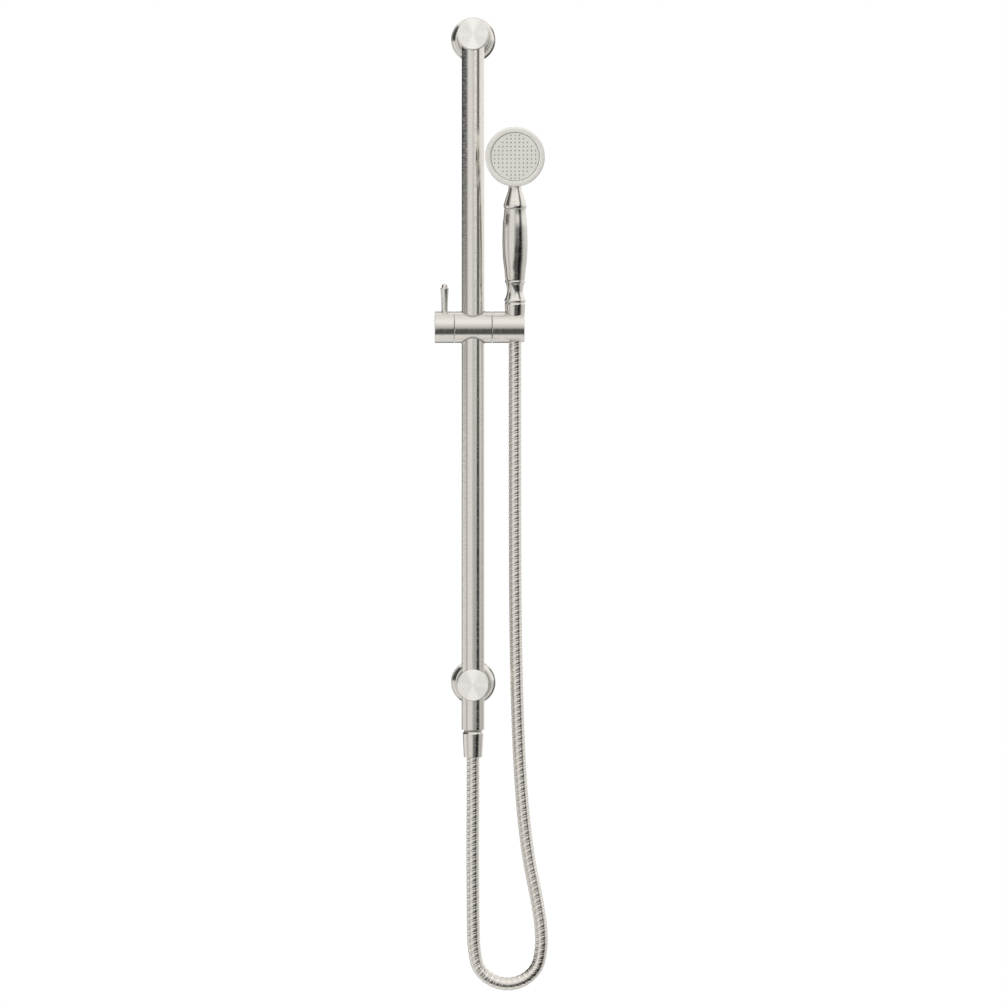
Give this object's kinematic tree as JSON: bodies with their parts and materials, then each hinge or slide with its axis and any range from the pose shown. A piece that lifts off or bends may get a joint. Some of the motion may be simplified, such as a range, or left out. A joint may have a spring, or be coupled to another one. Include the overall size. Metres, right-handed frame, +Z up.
{
  "type": "hand shower on slide rail",
  "caption": "Hand shower in a sliding, tilting holder on a round wall rail, with a lever lock, two wall brackets, a lower water outlet and a metal spiral hose.",
  "frame": {"origin": "centre of the upper wall plate's flat back face, on the wall plane", "axes": "+X right along the wall, +Y into the wall, +Z up along the rail"},
  "size_m": [0.1249, 0.0858, 1.0813],
  "materials": {
    "brushed_nickel": "warm satin nickel, finely brushed along each turned piece",
    "satin_face": "nickel face, brushed in circles",
    "hose_spiral": "interlocked metal spiral, polished nickel",
    "bare_brass": "machined brass",
    "bright_steel": "zinc plated steel",
    "black_rubber": "matt moulded rubber",
    "grey_plastic": "satin acetal",
    "white_plastic": "satin moulded plastic"
  },
  "bodies": {
    "rail_set": {"upper_wall_plate": "bright_steel", "upper_flange": "brushed_nickel", "upper_post": "brushed_nickel", "upper_end_cap": "satin_face", "upper_grub_screw": "bright_steel", "rail_tube": "brushed_nickel", "lower_wall_plate": "bright_steel", "lower_flange": "brushed_nickel", "lower_post": "brushed_nickel", "lower_end_cap": "satin_face", "lower_grub_screw": "bright_steel", "inlet_connector": "bare_brass", "inlet_seal": "black_rubber", "outlet_stub": "brushed_nickel", "check_valve_body": "white_plastic", "check_valve_spring": "bright_steel", "outlet_nipple": "bare_brass", "lower_hose_nut": "brushed_nickel", "lower_hose_washer": "black_rubber", "lower_hose_ferrule": "bare_brass", "hose_lower": "hose_spiral"},
    "valve_poppet": {"check_valve_poppet": "white_plastic"},
    "rail_bush": {"rail_bush_upper": "grey_plastic", "rail_bush_lower": "grey_plastic", "hose_riser": "hose_spiral"},
    "slider": {"slider_body": "brushed_nickel", "lock_pivot_bush": "bare_brass", "holder_friction_disc": "grey_plastic", "holder_pivot_screw": "bright_steel", "holder_spring_washer": "bright_steel", "hose_swing": "hose_spiral"},
    "lock": {"lock_knob": "brushed_nickel", "lock_lever": "brushed_nickel"},
    "brake": {"lock_plunger": "bright_steel", "brake_shoe": "grey_plastic"},
    "holder": {"holder_body": "brushed_nickel", "hose_tilt": "hose_spiral"},
    "hose_end": {"upper_hose_ferrule": "bare_brass", "hose_top": "hose_spiral"},
    "handset": {"upper_hose_nut": "brushed_nickel", "upper_hose_washer": "black_rubber", "flow_restrictor": "white_plastic", "handle_tail": "brushed_nickel", "tail_seal": "black_rubber", "handle_grip": "brushed_nickel", "water_tube": "white_plastic", "neck_seal": "black_rubber", "neck_cone": "brushed_nickel", "head_shell": "brushed_nickel", "head_gasket": "black_rubber", "nozzle_mat": "black_rubber", "nozzle_plate": "satin_face", "face_ring": "satin_face"}
  },
  "joints": [
    {"name": "valve_lift", "type": "slide", "parent": "rail_set", "child": "valve_poppet", "axis": [0, 0, -1], "range_m": [0, 0.0018], "stiffness_N_per_m": 60, "springref_m": -0.004, "deforming": ["check_valve_spring"]},
    {"name": "slider_height", "type": "slide", "parent": "rail_set", "child": "rail_bush", "axis": [0, 0, 1], "range_m": [-0.355, 0.275], "deforming": ["hose_riser"]},
    {"name": "slider_swivel", "type": "hinge", "parent": "rail_bush", "child": "slider", "pos_m": [0, -0.045, -0.3227], "axis": [0, 0, 1], "range_deg": [-50, 25], "deforming": ["hose_swing"]},
    {"name": "lock_turn", "type": "hinge", "parent": "slider", "child": "lock", "pos_m": [0, -0.045, -0.3227], "axis": [1, 0, 0], "range_deg": [0, 90]},
    {"name": "brake_travel", "type": "slide", "parent": "slider", "child": "brake", "axis": [-1, 0, 0], "range_m": [0, 0.0008]},
    {"name": "holder_tilt", "type": "hinge", "parent": "slider", "child": "holder", "pos_m": [0, -0.045, -0.3227], "axis": [1, 0, 0], "range_deg": [-10, 35], "deforming": ["hose_tilt"]},
    {"name": "handset_lift", "type": "slide", "parent": "holder", "child": "hose_end", "axis": [0, -0.1219, 0.9925], "range_m": [0, 0.035], "deforming": ["hose_top"]},
    {"name": "handset_spin", "type": "hinge", "parent": "hose_end", "child": "handset", "pos_m": [0.0465, -0.045, -0.3227], "axis": [0, -0.1219, 0.9925], "continuous": true}
  ],
  "couplings": [
    {"joint": "brake_travel", "follows": "lock_turn", "m_per_rad": 0.000509}
  ]
}
